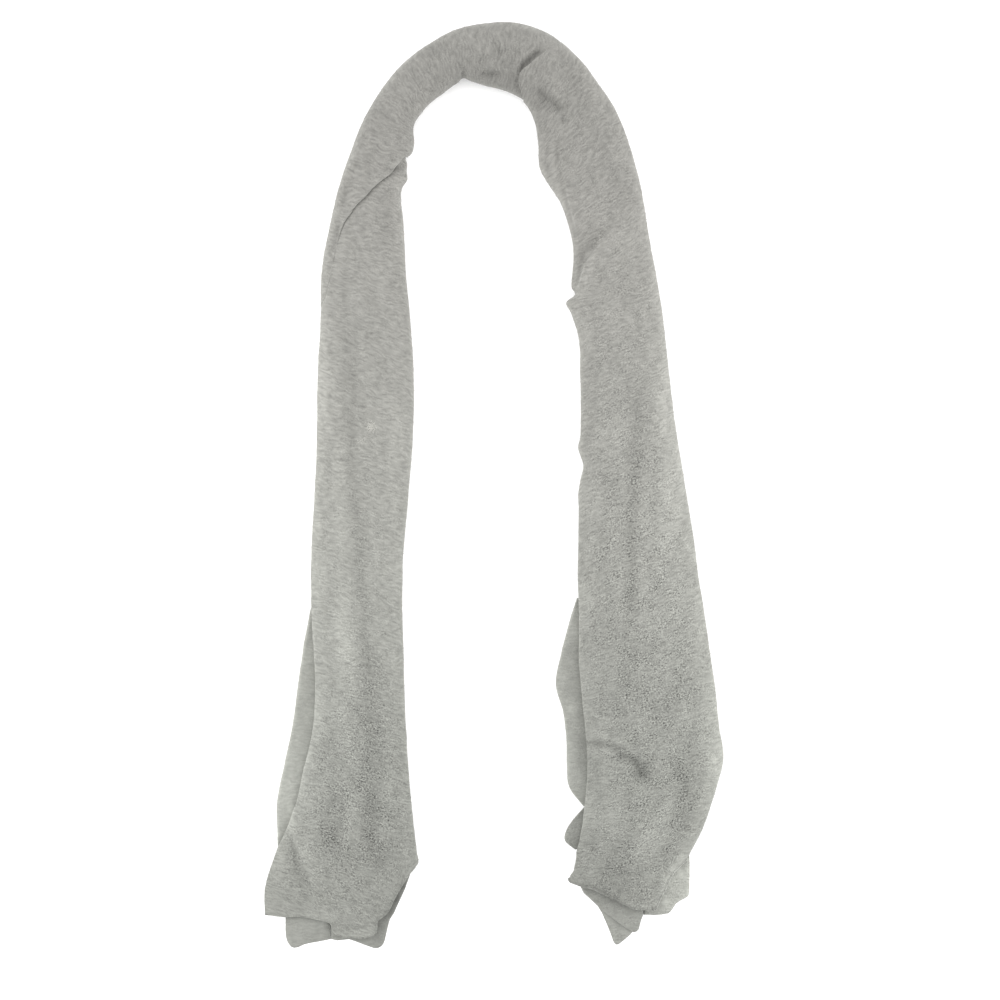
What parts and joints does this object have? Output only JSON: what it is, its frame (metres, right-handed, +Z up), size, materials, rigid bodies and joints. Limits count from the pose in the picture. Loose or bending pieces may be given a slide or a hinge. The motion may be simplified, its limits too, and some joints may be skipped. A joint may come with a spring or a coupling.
{
  "type": "cashmere stole laid flat in an upturned U",
  "caption": "Plain felted cashmere stole, gathered along its length and laid flat in an upturned U, with a rolled neck, two folded falls and uneven hems.",
  "frame": {"origin": "middle of the box's base, on the surface that the stole lies on", "axes": "+Z up from that surface, +Y from the two ends up to the neck, +X from the left fall to the right fall as seen from above"},
  "size_m": [0.4572, 0.9235, 0.0361],
  "materials": {
    "cashmere_face": "matt felted cashmere with a short raised nap",
    "cashmere_fold": "matt felted cashmere, smoother, on folds that peek out",
    "cashmere_inner": "matt felted cashmere, folded layers inside"
  },
  "bodies": {
    "root": {"hidden_layers": "cashmere_inner", "neck_roll": "cashmere_face", "left_fall": "cashmere_face", "right_fall": "cashmere_face", "left_under_fold": "cashmere_fold", "right_under_fold": "cashmere_fold", "right_tuck": "cashmere_fold", "left_back_outer": "cashmere_fold", "left_back_inner": "cashmere_fold", "right_side_layer": "cashmere_fold", "right_tip_upper": "cashmere_fold", "right_tip_lower": "cashmere_fold"}
  },
  "joints": []
}
